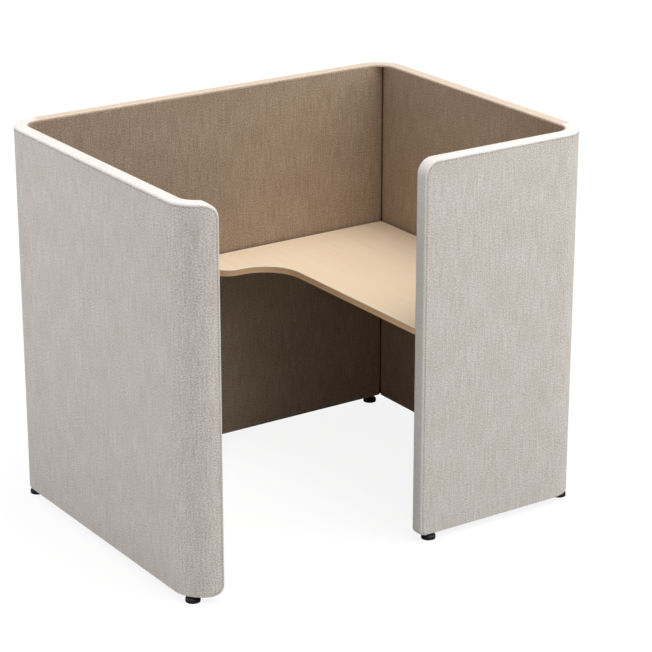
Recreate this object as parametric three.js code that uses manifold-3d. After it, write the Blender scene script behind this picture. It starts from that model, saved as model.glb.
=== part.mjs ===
// Acoustic office pod: four upholstered walls round a fixed desk, standing on five levelling feet.
// Millimetres, +Z up. X runs along the back wall, Y runs from the entry to the back wall.
// The origin is on the floor, under the middle of the pod.
import * as THREE from 'three';
import { mergeVertices } from 'three/addons/utils/BufferGeometryUtils.js';
import Module from 'manifold-3d';

const wasm = await Module();
wasm.setup();

// Pod
const POD_LENGTH = 1600;
const POD_DEPTH = 1200;
const POD_HEIGHT = 1350;
const FLOOR_GAP = 25;
const CORNER_RADIUS = 110;
const RETURN_LENGTH = 126;
const FRONT_LENGTH = 695;
const FREE_END_RADIUS = 55;
const RETURN_TOE_RADIUS = 35;

// Layers of a wall, from outside to inside
const OUTER_PAD = 10;
const CORE = 30;
const LINING = 10;
const CORNER_LINING_REACH = 88;
const BORDER = 8;
const BORDER_EDGE_RADIUS = 7;
const BORDER_SEAT = 0.4;
const FIT = 0.3;
const CUT_MARGIN = 3;

// Base rail and levelling feet
const RAIL_WIDTH = 26;
const RAIL_HEIGHT = 22;
const RAIL_RECESS = 3;
const STUD_RADIUS = 4;
const STUD_IN_GLIDE = 9;
const STUD_IN_WALL = 55;
const STUD_TIP_ROOM = 12;
const COLLAR_RADIUS = 8;
const COLLAR_HEIGHT = 8;
const GLIDE_RADIUS = 25;
const GLIDE_RIM = 11;
const GLIDE_NECK_RADIUS = 19;
const GLIDE_HEIGHT = 17;

// Distance of each foot from the joint or the free end beside it, along the wall
const FOOT_FROM_BACK_LEFT_JOINT = 108;
const FOOT_FROM_RETURN_END = 98;
const FOOT_FROM_BACK_RIGHT_JOINT = 108;
const FOOT_FROM_FRONT_RIGHT_JOINT = 62;
const FOOT_FROM_FRONT_END = 52;

// Link plates that join the wall cores
const LINK_LENGTH = 50;
const LINK_THICKNESS = 4;
const LINK_HEIGHT = 60;
const LOWER_LINK_Z = 260;
const UPPER_LINK_FROM_TOP = 190;

// Desk
const DESK_HEIGHT = 740;
const DESK_BOARD = 25;
const DESK_DEPTH = 600;
const DESK_WING_DEPTH = 190;
const DESK_WING_REACH = 830;
const DESK_INNER_CURVE = 150;
const DESK_WING_CURVE = 68;
const EDGE_BAND = 2;
const DESK_WALL_GAP = 4;
const DESK_REAR_CORNER = 8;

// Desk brackets and their screws
const BRACKET_WIDTH = 40;
const BRACKET_PLATE = 4;
const BRACKET_DROP = 130;
const BRACKET_REACH = 320;
const WING_BRACKET_REACH = 150;
const WING_BRACKET_DROP = 70;
const BRACKET_SPACING = 520;
const WING_BRACKET_FROM_END = 170;
const FRONT_BRACKET_FROM_EDGE = 170;
const FRONT_BRACKET_REACH = 220;
const SCREW_RADIUS = 2.5;
const SCREW_HEAD_RADIUS = 5;
const SCREW_HEAD = 2.5;
const SCREW_IN_DESK = 16;
const SCREW_IN_WALL = 26;
const SCREW_EDGE = 28;

// Facets of round shapes
const CORNER_STEPS = 10;
const END_STEPS = 12;
const ROUND_SIDES = 24;
const SCREW_SIDES = 12;
const CORNER_SIDES = 48;
const MERGE_DISTANCE = 1e-4;

// Derived sizes
const WALL = OUTER_PAD + CORE + LINING;
const CENTRE_TO_OUTSIDE = WALL / 2;
const CENTRE_RADIUS = CORNER_RADIUS - CENTRE_TO_OUTSIDE;
const CORE_OUTSIDE = CENTRE_TO_OUTSIDE - OUTER_PAD;
const CORE_INSIDE = CORE_OUTSIDE - CORE;
const CORE_MIDDLE = (CORE_OUTSIDE + CORE_INSIDE) / 2;
const LEFT = -POD_LENGTH / 2;
const RIGHT = POD_LENGTH / 2;
const FRONT = -POD_DEPTH / 2;
const BACK = POD_DEPTH / 2;
const LAYER_TOP = POD_HEIGHT - BORDER - BORDER_SEAT;
const RAIL_BOTTOM = FLOOR_GAP + RAIL_RECESS;
const RAIL_TOP = RAIL_BOTTOM + RAIL_HEIGHT;
const INNER_RIGHT = RIGHT - WALL;
const INNER_BACK = BACK - WALL;
const INNER_FRONT = FRONT + WALL;
const INNER_RADIUS = CORNER_RADIUS - WALL;
const DESK_BOTTOM = DESK_HEIGHT - DESK_BOARD;
const DESK_FRONT_EDGE = INNER_RIGHT - DESK_DEPTH;
const DESK_FRONT = INNER_FRONT + DESK_WALL_GAP;
const DESK_BACK = INNER_BACK - DESK_WALL_GAP;
const DESK_RIGHT = INNER_RIGHT - DESK_WALL_GAP;
const WING_END = INNER_RIGHT - DESK_WING_REACH;
const WING_EDGE = INNER_BACK - DESK_WING_DEPTH;

const FINISH = {
  greyFabric: { color: 0xbeb9b2, roughness: 0.95, metalness: 0 },
  brownFabric: { color: 0x917a65, roughness: 0.95, metalness: 0 },
  sandFabric: { color: 0xc9b09a, roughness: 0.95, metalness: 0 },
  fibreBoard: { color: 0xa98e6b, roughness: 0.9, metalness: 0 },
  steel: { color: 0x8d8f92, roughness: 0.4, metalness: 1 },
  paintedSteel: { color: 0x2b2b2c, roughness: 0.5, metalness: 0.6 },
  oak: { color: 0xebd6b8, roughness: 0.5, metalness: 0 },
  oakEdge: { color: 0xb9946b, roughness: 0.55, metalness: 0 },
  blackPlastic: { color: 0x161617, roughness: 0.6, metalness: 0 },
};

const pod = new THREE.Group();

function addPiece(name, geometry, finish) {
  const piece = new THREE.Mesh(geometry, new THREE.MeshStandardMaterial(finish));
  piece.name = name;
  pod.add(piece);
}

// Closed meshes as solids, and back
function toSolid(geometry) {
  const bare = geometry.clone();
  bare.deleteAttribute('normal');
  bare.deleteAttribute('uv');
  const merged = mergeVertices(bare, MERGE_DISTANCE);
  return new wasm.Manifold(
    new wasm.Mesh({
      numProp: 3,
      vertProperties: merged.attributes.position.array,
      triVerts: new Uint32Array(merged.index.array),
    }),
  );
}

function toGeometry(solid) {
  const mesh = solid.getMesh();
  const geometry = new THREE.BufferGeometry();
  geometry.setAttribute('position', new THREE.BufferAttribute(mesh.vertProperties, 3));
  geometry.setIndex(new THREE.BufferAttribute(mesh.triVerts, 1));
  geometry.computeVertexNormals();
  return geometry;
}

function cut(geometry, cutters) {
  let solid = toSolid(geometry);
  for (const cutter of cutters) {
    solid = solid.subtract(toSolid(cutter));
  }
  return toGeometry(solid);
}

// A box from its lowest to its highest corner
function boxBetween(low, high) {
  const size = high.clone().sub(low);
  const middle = low.clone().add(high).multiplyScalar(0.5);
  return new THREE.BoxGeometry(size.x, size.y, size.z).translate(middle.x, middle.y, middle.z);
}

// A round bar from one point along a direction
function barAlong(start, direction, length, radius, sides) {
  const bar = new THREE.CylinderGeometry(radius, radius, length, sides).translate(0, length / 2, 0);
  const turn = new THREE.Quaternion().setFromUnitVectors(new THREE.Vector3(0, 1, 0), direction);
  return bar.applyQuaternion(turn).translate(start.x, start.y, start.z);
}

// A wall's centre line in plan: straight runs and quarter turns, with the outside on the turns' far side.
// turn is +1 where the line turns left and -1 where it turns right.
class WallLine {
  constructor(start, heading, turn) {
    this.turn = turn;
    this.end = start.clone();
    this.heading = heading.clone();
    this.length = 0;
    this.runs = [];
    this.breaks = [0];
  }

  straight(length) {
    this.runs.push({ from: this.length, start: this.end.clone(), heading: this.heading.clone() });
    this.end.addScaledVector(this.heading, length);
    this.length += length;
    this.breaks.push(this.length);
    return this;
  }

  quarter(radius) {
    const length = (radius * Math.PI) / 2;
    const start = this.end.clone();
    this.runs.push({ from: this.length, radius, start, heading: this.heading.clone() });
    for (let i = 1; i <= CORNER_STEPS; i += 1) {
      this.breaks.push(this.length + (length * i) / CORNER_STEPS);
    }
    this.length += length;
    const last = this.at(this.length);
    this.end.copy(last.point);
    this.heading.copy(last.heading);
    return this;
  }

  // The point, heading and outward normal at a distance along the line
  at(distance) {
    const run = this.runs.findLast((r) => distance >= r.from) ?? this.runs[0];
    const along = distance - run.from;
    const side = new THREE.Vector2(-run.heading.y, run.heading.x).multiplyScalar(this.turn);
    const point = run.start.clone();
    let heading = run.heading.clone();
    if (run.radius) {
      const angle = along / run.radius;
      point.addScaledVector(run.heading, run.radius * Math.sin(angle));
      point.addScaledVector(side, run.radius * (1 - Math.cos(angle)));
      heading = run.heading.clone().multiplyScalar(Math.cos(angle)).addScaledVector(side, Math.sin(angle));
    } else {
      point.addScaledVector(run.heading, along);
    }
    const normal = new THREE.Vector2(heading.y, -heading.x).multiplyScalar(this.turn);
    return { point, heading, normal };
  }

  // A point in space, by distance along the line, distance outward from it and height
  place(distance, outward, z) {
    const { point, normal } = this.at(distance);
    return new THREE.Vector3(point.x + normal.x * outward, point.y + normal.y * outward, z);
  }
}

// Skins a row of closed sections, given as lists of points, and caps both ends
function skin(sections, flip) {
  const size = sections[0].length;
  const points = sections.flat();
  const index = [];
  const face = (a, b, c) => index.push(...(flip ? [a, c, b] : [a, b, c]));
  for (let i = 0; i + 1 < sections.length; i += 1) {
    for (let j = 0; j < size; j += 1) {
      const a = i * size + j;
      const b = i * size + ((j + 1) % size);
      face(a, b, a + size);
      face(b, b + size, a + size);
    }
  }
  const last = (sections.length - 1) * size;
  for (let j = 1; j + 1 < size; j += 1) {
    face(0, j + 1, j);
    face(last, last + j, last + j + 1);
  }
  const geometry = new THREE.BufferGeometry().setFromPoints(points);
  geometry.setIndex(index);
  geometry.computeVertexNormals();
  return geometry;
}

// A wall: its centre line and whether its far end is free.
// A free end has a rounded top corner, and a rounded bottom corner where a toe radius is given.
class Wall {
  constructor(name, line, freeEnd, toeRadius) {
    this.name = name;
    this.line = line;
    this.freeEnd = freeEnd;
    this.toeRadius = toeRadius;
    this.start = FIT / 2;
    this.end = freeEnd ? line.length : line.length - FIT / 2;
  }

  // The wall's outline, from its joint along the top and round the top corner of a free end.
  // Each entry has a distance along the wall, a height and the outline's outward direction.
  outline() {
    const top = POD_HEIGHT;
    const radius = this.freeEnd ? FREE_END_RADIUS : 0;
    const along = this.line.breaks.filter((s) => s > this.start && s < this.end - radius);
    const entries = [this.start, ...along].map((s) => ({ s, z: top, out: [0, 1] }));
    if (!this.freeEnd) {
      return [...entries, { s: this.end, z: top, out: [0, 1] }];
    }
    for (let i = 0; i <= END_STEPS; i += 1) {
      const angle = (i / END_STEPS) * (Math.PI / 2);
      const out = [Math.sin(angle), Math.cos(angle)];
      entries.push({ s: this.end - radius * (1 - out[0]), z: top - radius * (1 - out[1]), out });
    }
    return entries;
  }

  // The outline down a free end, with an overrun past the bottom, or round its bottom corner
  freeEdge(overrun) {
    const radius = this.toeRadius;
    if (!radius) {
      return [{ s: this.end, z: FLOOR_GAP - overrun, out: [1, 0] }];
    }
    const entries = [];
    for (let i = 0; i <= END_STEPS; i += 1) {
      const angle = (1 + i / END_STEPS) * (Math.PI / 2);
      const out = [Math.sin(angle), Math.cos(angle)];
      entries.push({ s: this.end - radius * (1 - out[0]), z: FLOOR_GAP + radius * (1 + out[1]), out });
    }
    return entries;
  }

  // A profile, given as distances outward and depths under the outline, swept along the outline.
  // It runs on past the wall's ends by an overrun.
  sweep(profile, overrun) {
    const outline = this.outline();
    outline[0].s -= overrun;
    if (this.freeEnd) {
      outline.push(...this.freeEdge(overrun));
    } else {
      outline[outline.length - 1].s += overrun;
    }
    const sections = outline.map(({ s, z, out }) =>
      profile.map(([n, d]) => this.line.place(s - d * out[0], n, z - d * out[1])),
    );
    return skin(sections, this.line.turn > 0);
  }

  // The strip that closes the wall's top edge and its free end, with softened long edges
  border() {
    const half = CENTRE_TO_OUTSIDE;
    const r = BORDER_EDGE_RADIUS;
    const eased = r * (1 - Math.SQRT1_2);
    const side = [[half, BORDER], [half, r], [half - eased, eased], [half - r, 0]];
    return this.sweep([...side, ...side.map(([n, d]) => [-n, d]).reverse()], 0);
  }

  // The room that the border strip takes out of the layers under it
  borderRoom() {
    const half = CENTRE_TO_OUTSIDE + CUT_MARGIN;
    const depth = BORDER + BORDER_SEAT;
    const above = -FREE_END_RADIUS;
    const room = [[half, depth], [half, above], [-half, above], [-half, depth]];
    return this.sweep(room, CUT_MARGIN);
  }

  // A layer between two distances from the centre line and two heights
  slice(inside, outside, bottom, top) {
    const stations = this.outline().map(({ s }) => s);
    const sections = stations.map((s) => [
      this.line.place(s, inside, bottom),
      this.line.place(s, outside, bottom),
      this.line.place(s, outside, top),
      this.line.place(s, inside, top),
    ]);
    return skin(sections, this.line.turn > 0);
  }

  // A layer that stops under the border strip, with cuts of its own
  layer(inside, outside, bottom, top, cutters) {
    return cut(this.slice(inside, outside, bottom, top), [this.borderRoom(), ...cutters]);
  }
}

// Centre lines of the four walls. The left wall has two of the corners, the back and front walls one each.
const STRAIGHT_X = POD_LENGTH - 2 * CORNER_RADIUS;
const STRAIGHT_Y = POD_DEPTH - 2 * CORNER_RADIUS;
const toLeft = new THREE.Vector2(-1, 0);
const toRight = new THREE.Vector2(1, 0);
const toFront = new THREE.Vector2(0, -1);
const backLeftJoint = new THREE.Vector2(LEFT + CORNER_RADIUS, BACK - CENTRE_TO_OUTSIDE);
const backRightJoint = new THREE.Vector2(RIGHT - CENTRE_TO_OUTSIDE, BACK - CORNER_RADIUS);
const frontRightJoint = new THREE.Vector2(RIGHT - CENTRE_TO_OUTSIDE, FRONT + CORNER_RADIUS);

const leftLine = new WallLine(backLeftJoint, toLeft, 1)
  .quarter(CENTRE_RADIUS)
  .straight(STRAIGHT_Y)
  .quarter(CENTRE_RADIUS)
  .straight(RETURN_LENGTH - CORNER_RADIUS);
const backLine = new WallLine(backLeftJoint, toRight, -1).straight(STRAIGHT_X).quarter(CENTRE_RADIUS);
const rightLine = new WallLine(backRightJoint, toFront, -1).straight(STRAIGHT_Y);
const frontLine = new WallLine(frontRightJoint, toFront, -1)
  .quarter(CENTRE_RADIUS)
  .straight(FRONT_LENGTH - CORNER_RADIUS);

const left = new Wall('left', leftLine, true, RETURN_TOE_RADIUS);
const back = new Wall('back', backLine, false, 0);
const right = new Wall('right', rightLine, false, 0);
const front = new Wall('front', frontLine, true, 0);
const walls = [left, back, right, front];

// The linings of the back and right walls are flat and meet in a square corner.
// Its hidden back is a curve, so that the core behind it keeps its thickness.
const cornerCentre = new THREE.Vector2(RIGHT - CORNER_RADIUS, BACK - CORNER_RADIUS);

function cornerCurve(clearance) {
  const start = new THREE.Vector3(cornerCentre.x, cornerCentre.y, 0);
  const up = new THREE.Vector3(0, 0, 1);
  return barAlong(start, up, POD_HEIGHT, CORNER_LINING_REACH + clearance, CORNER_SIDES);
}

// The room for the square corner in the layers behind it
function cornerRoom() {
  const low = new THREE.Vector3(cornerCentre.x, cornerCentre.y, 0);
  const depth = LINING + FIT / 2;
  const high = new THREE.Vector3(INNER_RIGHT + depth, INNER_BACK + depth, POD_HEIGHT);
  return toGeometry(toSolid(boxBetween(low, high)).intersect(toSolid(cornerCurve(FIT / 2))));
}

// A flat lining between two corners in plan, stopped at the curve
function flatLining(x, y, cutters) {
  const low = new THREE.Vector3(x[0], y[0], FLOOR_GAP);
  const high = new THREE.Vector3(x[1], y[1], LAYER_TOP);
  const outside = boxBetween(
    new THREE.Vector3(cornerCentre.x, cornerCentre.y, 0),
    new THREE.Vector3(RIGHT, BACK, POD_HEIGHT),
  );
  const beyond = toGeometry(toSolid(outside).subtract(toSolid(cornerCurve(-FIT / 2))));
  return cut(boxBetween(low, high), [beyond, ...cutters]);
}

// A wall's lining: flat on the back and right walls, and swept along the others
function liningOf(wall, drilled) {
  const depth = LINING - FIT / 2;
  if (wall === back) {
    const x = [backLeftJoint.x + FIT / 2, INNER_RIGHT - FIT / 2];
    return flatLining(x, [INNER_BACK, INNER_BACK + depth], drilled);
  }
  if (wall === right) {
    const y = [frontRightJoint.y + FIT / 2, INNER_BACK + depth];
    return flatLining([INNER_RIGHT, INNER_RIGHT + depth], y, drilled);
  }
  return wall.layer(-CENTRE_TO_OUTSIDE, CORE_INSIDE - FIT / 2, FLOOR_GAP, POD_HEIGHT, drilled);
}

// Feet, each by its wall and its distance along the wall
const feet = [
  { name: 'back_left', wall: left, along: FOOT_FROM_BACK_LEFT_JOINT },
  { name: 'front_left', wall: left, along: leftLine.length - FOOT_FROM_RETURN_END },
  { name: 'back_right', wall: back, along: backLine.length - FOOT_FROM_BACK_RIGHT_JOINT },
  { name: 'front_right', wall: front, along: FOOT_FROM_FRONT_RIGHT_JOINT },
  { name: 'entry', wall: front, along: frontLine.length - FOOT_FROM_FRONT_END },
];

function addFoot({ name, wall, along }) {
  const collarTop = RAIL_BOTTOM - FIT;
  const studBottom = GLIDE_HEIGHT - STUD_IN_GLIDE;
  const bore = STUD_RADIUS + FIT;
  const glideProfile = [
    [0, 0], [GLIDE_RADIUS, 0], [GLIDE_RADIUS, GLIDE_RIM], [GLIDE_NECK_RADIUS, GLIDE_HEIGHT],
    [bore, GLIDE_HEIGHT], [bore, studBottom - FIT], [0, studBottom - FIT],
  ];
  const studProfile = [
    [0, studBottom], [STUD_RADIUS, studBottom], [STUD_RADIUS, collarTop - COLLAR_HEIGHT],
    [COLLAR_RADIUS, collarTop - COLLAR_HEIGHT], [COLLAR_RADIUS, collarTop],
    [STUD_RADIUS, collarTop], [STUD_RADIUS, RAIL_BOTTOM + STUD_IN_WALL], [0, RAIL_BOTTOM + STUD_IN_WALL],
  ];
  const foot = wall.line.place(along, CORE_MIDDLE, 0);
  const lathe = (profile) =>
    new THREE.LatheGeometry(profile.map(([r, z]) => new THREE.Vector2(r, z)), ROUND_SIDES)
      .rotateX(Math.PI / 2)
      .translate(foot.x, foot.y, 0);
  addPiece(`${name}_foot_glide`, lathe(glideProfile), FINISH.blackPlastic);
  addPiece(`${name}_foot_stud`, lathe(studProfile), FINISH.steel);
}

// The hole that a foot's stud screws into
function studHole({ wall, along }) {
  const start = wall.line.place(along, CORE_MIDDLE, RAIL_BOTTOM - STUD_TIP_ROOM);
  const depth = STUD_IN_WALL + 2 * STUD_TIP_ROOM;
  return barAlong(start, new THREE.Vector3(0, 0, 1), depth, STUD_RADIUS + FIT, ROUND_SIDES);
}

// Link plates across each joint, at two heights
const joints = [
  { name: 'back_left', point: backLeftJoint, heading: toRight },
  { name: 'back_right', point: backRightJoint, heading: toFront },
  { name: 'front_right', point: frontRightJoint, heading: toFront },
];
const links = joints.flatMap((joint) => [
  { ...joint, name: `${joint.name}_lower_link`, z: LOWER_LINK_Z },
  { ...joint, name: `${joint.name}_upper_link`, z: POD_HEIGHT - UPPER_LINK_FROM_TOP },
]);

function linkPlate({ point, heading, z }, clearance) {
  const along = LINK_LENGTH / 2 + clearance;
  const across = LINK_THICKNESS / 2 + clearance;
  const reach = new THREE.Vector3(
    Math.abs(heading.x) * along + Math.abs(heading.y) * across,
    Math.abs(heading.y) * along + Math.abs(heading.x) * across,
    LINK_HEIGHT / 2 + clearance,
  );
  const middle = new THREE.Vector3(point.x, point.y, z);
  return boxBetween(middle.clone().sub(reach), middle.clone().add(reach));
}

// Desk brackets: where each stands on its wall's inner face and the way it reaches from the wall
const towardLeft = new THREE.Vector3(-1, 0, 0);
const towardFront = new THREE.Vector3(0, -1, 0);
const towardBack = new THREE.Vector3(0, 1, 0);
const brackets = [
  {
    name: 'right_rear',
    wall: right,
    reach: BRACKET_REACH,
    drop: BRACKET_DROP,
    heading: towardLeft,
    x: INNER_RIGHT,
    y: BRACKET_SPACING / 2,
  },
  {
    name: 'right_front',
    wall: right,
    reach: BRACKET_REACH,
    drop: BRACKET_DROP,
    heading: towardLeft,
    x: INNER_RIGHT,
    y: -BRACKET_SPACING / 2,
  },
  {
    name: 'wing',
    wall: back,
    reach: WING_BRACKET_REACH,
    drop: WING_BRACKET_DROP,
    heading: towardFront,
    x: WING_END + WING_BRACKET_FROM_END,
    y: INNER_BACK,
  },
  {
    name: 'front',
    wall: front,
    reach: FRONT_BRACKET_REACH,
    drop: BRACKET_DROP,
    heading: towardBack,
    x: DESK_FRONT_EDGE + FRONT_BRACKET_FROM_EDGE,
    y: INNER_FRONT,
  },
];
const screws = brackets.flatMap((bracket) => bracketScrews(bracket));

// Two screws up into the desk and two into the wall, for one bracket
function bracketScrews({ name, wall, reach, drop, heading, x, y }) {
  const plateTop = DESK_BOTTOM - FIT;
  const up = new THREE.Vector3(0, 0, 1);
  const intoWall = heading.clone().negate();
  const side = new THREE.Vector3(-heading.y, heading.x, 0);
  const foot = new THREE.Vector3(x, y, 0).addScaledVector(heading, FIT + BRACKET_PLATE + FIT);
  const underDesk = plateTop - BRACKET_PLATE - FIT;
  const sideways = BRACKET_WIDTH / 4;
  const desk = [SCREW_EDGE, reach - SCREW_EDGE].map((out, i) => ({
    name: `${name}_desk_screw_${i + 1}`,
    start: new THREE.Vector3(x, y, underDesk).addScaledVector(heading, out).addScaledVector(side, sideways),
    direction: up,
    length: BRACKET_PLATE + 2 * FIT + SCREW_IN_DESK,
    target: 'desk',
  }));
  const lowest = plateTop - drop + SCREW_EDGE;
  const wallScrews = [lowest, plateTop - SCREW_EDGE].map((z, i) => ({
    name: `${name}_wall_screw_${i + 1}`,
    start: foot.clone().setZ(z).addScaledVector(side, -sideways),
    direction: intoWall,
    length: BRACKET_PLATE + 2 * FIT + SCREW_IN_WALL,
    target: wall.name,
  }));
  return [...desk, ...wallScrews];
}

// A pan-head screw, or with a clearance the hole it sits in
function screwShank({ start, direction, length }, clearance) {
  return barAlong(start, direction, length + clearance, SCREW_RADIUS + clearance, SCREW_SIDES);
}

function screwSolid(screw) {
  const backward = screw.direction.clone().negate();
  const head = barAlong(screw.start, backward, SCREW_HEAD, SCREW_HEAD_RADIUS, SCREW_SIDES);
  return toGeometry(toSolid(head).add(toSolid(screwShank(screw, 0))));
}

function holesIn(target) {
  return screws.filter((s) => s.target === target).map((s) => screwShank(s, FIT));
}

// A bracket: a plate on the wall, a plate under the desk and a gusset between them
function bracketSolid({ name, reach, drop, heading, x, y }) {
  const top = DESK_BOTTOM - FIT;
  const half = BRACKET_PLATE / 2;
  const profile = [
    [0, 0], [reach, 0], [reach, -BRACKET_PLATE], [BRACKET_PLATE, -BRACKET_PLATE],
    [BRACKET_PLATE, -drop], [0, -drop],
  ];
  const gusset = [[half, -half], [reach - BRACKET_PLATE, -half], [half, BRACKET_PLATE - drop]];
  const plate = (points, width) => {
    const shape = new THREE.Shape(points.map(([u, v]) => new THREE.Vector2(u, v)));
    return new THREE.ExtrudeGeometry(shape, { depth: width, bevelEnabled: false })
      .translate(0, 0, -width / 2)
      .rotateX(Math.PI / 2);
  };
  const joined = toSolid(plate(profile, BRACKET_WIDTH)).add(toSolid(plate(gusset, BRACKET_PLATE)));
  const seat = new THREE.Vector3(x, y, top).addScaledVector(heading, FIT);
  const placed = toGeometry(joined)
    .rotateZ(Math.atan2(heading.y, heading.x))
    .translate(seat.x, seat.y, seat.z);
  const own = screws.filter((s) => s.name.startsWith(`${name}_desk`) || s.name.startsWith(`${name}_wall`));
  return cut(placed, own.map((s) => screwShank(s, FIT)));
}

// The desk's exposed edge in plan, from the front wall to the back wall, drawn in by an inset
function deskEdge(inset) {
  const straightEnd = WING_EDGE - DESK_INNER_CURVE;
  const curveX = DESK_FRONT_EDGE - DESK_INNER_CURVE;
  const cornerX = WING_END + DESK_WING_CURVE;
  const cornerY = WING_EDGE + DESK_WING_CURVE;
  const path = new THREE.Path();
  path.moveTo(DESK_FRONT_EDGE + inset, DESK_FRONT);
  path.lineTo(DESK_FRONT_EDGE + inset, straightEnd);
  path.absarc(curveX, straightEnd, DESK_INNER_CURVE + inset, 0, Math.PI / 2, false);
  path.absarc(cornerX, cornerY, DESK_WING_CURVE - inset, -Math.PI / 2, -Math.PI, true);
  path.lineTo(WING_END + inset, DESK_BACK);
  return path.getPoints(CORNER_STEPS);
}

function slab(shape) {
  const options = { depth: DESK_BOARD, bevelEnabled: false, curveSegments: CORNER_STEPS };
  return new THREE.ExtrudeGeometry(shape, options).translate(0, 0, DESK_BOTTOM);
}

function deskBoard() {
  const shape = new THREE.Shape(deskEdge(EDGE_BAND + FIT));
  const rear = DESK_REAR_CORNER;
  const entrySide = INNER_RADIUS;
  shape.lineTo(DESK_RIGHT - rear, DESK_BACK);
  shape.absarc(DESK_RIGHT - rear, DESK_BACK - rear, rear, Math.PI / 2, 0, true);
  shape.lineTo(DESK_RIGHT, DESK_FRONT + entrySide);
  shape.absarc(DESK_RIGHT - entrySide, DESK_FRONT + entrySide, entrySide, 0, -Math.PI / 2, true);
  shape.closePath();
  return cut(slab(shape), holesIn('desk'));
}

function deskEdgeBand() {
  return slab(new THREE.Shape([...deskEdge(0), ...deskEdge(EDGE_BAND).reverse()]));
}

// Assembly
for (const wall of walls) {
  const band = wall === left || wall === front ? FINISH.greyFabric : FINISH.sandFabric;
  const wallFeet = feet.filter((foot) => foot.wall === wall);
  const studHoles = wallFeet.map((foot) => studHole(foot));
  const slots = links.map((link) => linkPlate(link, FIT));
  const drilled = holesIn(wall.name);
  const top = POD_HEIGHT;
  const corner = wall === back ? [cornerRoom()] : [];
  const coreCuts = [...studHoles, ...slots, ...drilled, ...corner];
  const core = wall.layer(CORE_INSIDE + FIT / 2, CORE_OUTSIDE - FIT / 2, RAIL_TOP + FIT, top, coreCuts);
  const cover = wall.layer(CORE_OUTSIDE + FIT / 2, CENTRE_TO_OUTSIDE, FLOOR_GAP, top, []);
  const lining = liningOf(wall, drilled);
  const railInside = CORE_MIDDLE - RAIL_WIDTH / 2;
  const railOutside = CORE_MIDDLE + RAIL_WIDTH / 2;
  const rail = wall.layer(railInside, railOutside, RAIL_BOTTOM, RAIL_TOP, [...studHoles, ...corner]);
  addPiece(`${wall.name}_core`, core, FINISH.fibreBoard);
  addPiece(`${wall.name}_outer_cover`, cover, FINISH.greyFabric);
  addPiece(`${wall.name}_lining`, lining, FINISH.brownFabric);
  addPiece(`${wall.name}_base_rail`, rail, FINISH.paintedSteel);
  addPiece(`${wall.name}_border`, wall.border(), band);
}
for (const link of links) {
  addPiece(link.name, linkPlate(link, 0), FINISH.steel);
}
for (const foot of feet) {
  addFoot(foot);
}
addPiece('desk_board', deskBoard(), FINISH.oak);
addPiece('desk_edge_band', deskEdgeBand(), FINISH.oakEdge);
for (const bracket of brackets) {
  addPiece(`${bracket.name}_bracket`, bracketSolid(bracket), FINISH.paintedSteel);
}
for (const screw of screws) {
  addPiece(screw.name, screwSolid(screw), FINISH.steel);
}

export default pod;
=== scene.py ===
"""An acoustic office pod: padded walls round a fixed desk, on levelling feet, in a pale studio."""
import logging
from dataclasses import dataclass, field
from enum import Enum
from math import cos, hypot, pi, sin, sqrt

import bmesh
import bpy
import numpy as np
from bpy.types import Material, Object
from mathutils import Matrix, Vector


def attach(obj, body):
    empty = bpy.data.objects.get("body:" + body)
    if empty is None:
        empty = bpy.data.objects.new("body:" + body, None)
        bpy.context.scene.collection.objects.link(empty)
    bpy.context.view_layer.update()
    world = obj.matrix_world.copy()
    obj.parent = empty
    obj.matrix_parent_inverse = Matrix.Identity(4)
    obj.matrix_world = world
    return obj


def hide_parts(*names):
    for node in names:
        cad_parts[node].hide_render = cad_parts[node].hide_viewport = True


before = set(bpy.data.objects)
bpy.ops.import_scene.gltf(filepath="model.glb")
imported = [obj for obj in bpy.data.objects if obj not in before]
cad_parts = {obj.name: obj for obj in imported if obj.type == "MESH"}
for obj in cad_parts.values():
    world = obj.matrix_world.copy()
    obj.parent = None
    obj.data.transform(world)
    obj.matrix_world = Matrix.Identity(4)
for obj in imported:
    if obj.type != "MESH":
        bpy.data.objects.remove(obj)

log = logging.getLogger("pod")

Pair = tuple[float, float]
Point = tuple[float, float, float]
Colour = tuple[float, float, float]

BODY = "pod"
WEAVE_UV = "weave"
BAND_UV = "band"
HELD = "held"

# Sizes that several pieces share, in metres
POD_HEIGHT = 1.35
FLOOR_GAP = 0.025
CORNER_RADIUS = 0.11
FREE_END_RADIUS = 0.055
HALF_WALL = 0.025
HALF_CORE = 0.015
BORDER = 0.008
SEAM_GAP = 0.0004
FIT = 0.0003
PANEL_CROWN = 0.0022
TRIM_SEAM_AT = -0.0195
DESK_TOP = 0.74

# Spacing of points along edges and round curves
EDGE_OFFSETS = (0.0, 0.0003, 0.0009, 0.0018, 0.003, 0.0045, 0.007, 0.012, 0.022)
STRAIGHT_STEP = 0.035
LEAST_STEP = 0.00025
CORNER_STEPS = 18
END_STEPS = 20
DESK_CURVE_STEPS = 28
BOARD_CORNER_STEPS = 12
ROUND_STEPS = 6


class Face(Enum):
    """The side of a wall that a padded layer covers."""

    OUTER = 1
    INNER = -1


class Corner(Enum):
    """Which end of a wall's lining meets the next one in the square corner."""

    NONE = 0
    BEGIN = 1
    FINISH = 2


class Trim(Enum):
    """The fabric of a wall's border strip."""

    GREY = "grey"
    SAND = "sand"


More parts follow.
